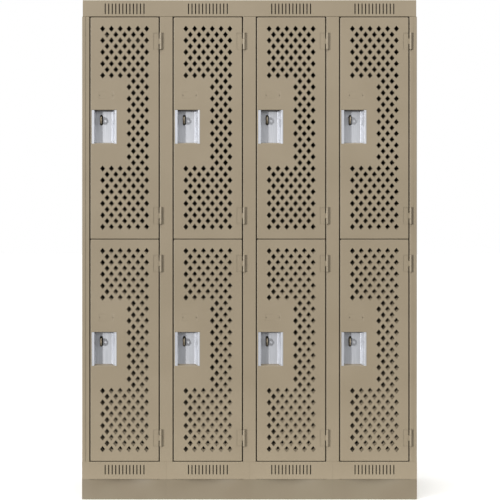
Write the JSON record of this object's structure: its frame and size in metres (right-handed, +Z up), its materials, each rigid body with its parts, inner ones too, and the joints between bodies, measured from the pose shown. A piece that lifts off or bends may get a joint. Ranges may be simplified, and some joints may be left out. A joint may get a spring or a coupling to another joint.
{
  "type": "locker cabinet",
  "caption": "Bank of ventilated steel lockers in two tiers, with perforated double-pan doors, recessed finger pockets and padlock hasps on a closed base.",
  "frame": {"origin": "on the floor, under the middle of the whole bank's box", "axes": "+X to the right of someone facing the doors, -Y out of the doors' faces, +Z up"},
  "size_m": [1.2256, 0.4572, 1.8288],
  "materials": {
    "frame_paint": "satin powder coat",
    "door_paint": "satin powder coat",
    "panel_paint": "satin powder coat",
    "base_paint": "satin powder coat",
    "pocket_steel": "bright stainless steel",
    "zinc_steel": "zinc plate on pins, rivets and coat hooks",
    "bumper_rubber": "moulded rubber"
  },
  "bodies": {
    "root": {"left_side_panel": "panel_paint", "right_side_panel": "panel_paint", "top_panel": "panel_paint", "top_skirt_left": "panel_paint", "top_skirt_right": "panel_paint", "back_panel": "panel_paint", "bottom_panel": "panel_paint", "partition_1": "panel_paint", "partition_2": "panel_paint", "partition_3": "panel_paint", "stile_1": "frame_paint", "stile_2": "frame_paint", "stile_3": "frame_paint", "stile_4": "frame_paint", "stile_5": "frame_paint", "top_rail": "frame_paint", "bottom_rail_1": "frame_paint", "toe_panel_1": "base_paint", "tier_shelf_1": "panel_paint", "bottom_rail_2": "frame_paint", "toe_panel_2": "base_paint", "tier_shelf_2": "panel_paint", "bottom_rail_3": "frame_paint", "toe_panel_3": "base_paint", "tier_shelf_3": "panel_paint", "bottom_rail_4": "frame_paint", "toe_panel_4": "base_paint", "tier_shelf_4": "panel_paint", "upper_hasp_1": "frame_paint", "upper_hasp_2": "frame_paint", "upper_hasp_3": "frame_paint", "upper_hasp_4": "frame_paint", "lower_hasp_1": "frame_paint", "lower_hasp_2": "frame_paint", "lower_hasp_3": "frame_paint", "lower_hasp_4": "frame_paint"},
    "upper_door_1": {"upper_door_1_outer_pan": "door_paint", "upper_door_1_inner_pan": "panel_paint", "upper_door_1_pocket": "pocket_steel"},
    "upper_door_2": {"upper_door_2_outer_pan": "door_paint", "upper_door_2_inner_pan": "panel_paint", "upper_door_2_pocket": "pocket_steel"},
    "upper_door_3": {"upper_door_3_outer_pan": "door_paint", "upper_door_3_inner_pan": "panel_paint", "upper_door_3_pocket": "pocket_steel"},
    "upper_door_4": {"upper_door_4_outer_pan": "door_paint", "upper_door_4_inner_pan": "panel_paint", "upper_door_4_pocket": "pocket_steel"},
    "lower_door_1": {"lower_door_1_outer_pan": "door_paint", "lower_door_1_inner_pan": "panel_paint", "lower_door_1_pocket": "pocket_steel"},
    "lower_door_2": {"lower_door_2_outer_pan": "door_paint", "lower_door_2_inner_pan": "panel_paint", "lower_door_2_pocket": "pocket_steel"},
    "lower_door_3": {"lower_door_3_outer_pan": "door_paint", "lower_door_3_inner_pan": "panel_paint", "lower_door_3_pocket": "pocket_steel"},
    "lower_door_4": {"lower_door_4_outer_pan": "door_paint", "lower_door_4_inner_pan": "panel_paint", "lower_door_4_pocket": "pocket_steel"}
  },
  "joints": [
    {"name": "upper_door_1_swing", "type": "hinge", "parent": "root", "child": "upper_door_1", "pos_m": [-0.3246, -0.2241, 1.35957], "axis": [0, 0, 1], "range_deg": [0, 110]},
    {"name": "upper_door_2_swing", "type": "hinge", "parent": "root", "child": "upper_door_2", "pos_m": [-0.0198, -0.2241, 1.35957], "axis": [0, 0, 1], "range_deg": [0, 110]},
    {"name": "upper_door_3_swing", "type": "hinge", "parent": "root", "child": "upper_door_3", "pos_m": [0.285, -0.2241, 1.35957], "axis": [0, 0, 1], "range_deg": [0, 110]},
    {"name": "upper_door_4_swing", "type": "hinge", "parent": "root", "child": "upper_door_4", "pos_m": [0.5898, -0.2241, 1.35957], "axis": [0, 0, 1], "range_deg": [0, 110]},
    {"name": "lower_door_1_swing", "type": "hinge", "parent": "root", "child": "lower_door_1", "pos_m": [-0.3246, -0.2241, 0.54612], "axis": [0, 0, 1], "range_deg": [0, 110]},
    {"name": "lower_door_2_swing", "type": "hinge", "parent": "root", "child": "lower_door_2", "pos_m": [-0.0198, -0.2241, 0.54612], "axis": [0, 0, 1], "range_deg": [0, 110]},
    {"name": "lower_door_3_swing", "type": "hinge", "parent": "root", "child": "lower_door_3", "pos_m": [0.285, -0.2241, 0.54612], "axis": [0, 0, 1], "range_deg": [0, 110]},
    {"name": "lower_door_4_swing", "type": "hinge", "parent": "root", "child": "lower_door_4", "pos_m": [0.5898, -0.2241, 0.54612], "axis": [0, 0, 1], "range_deg": [0, 110]}
  ]
}
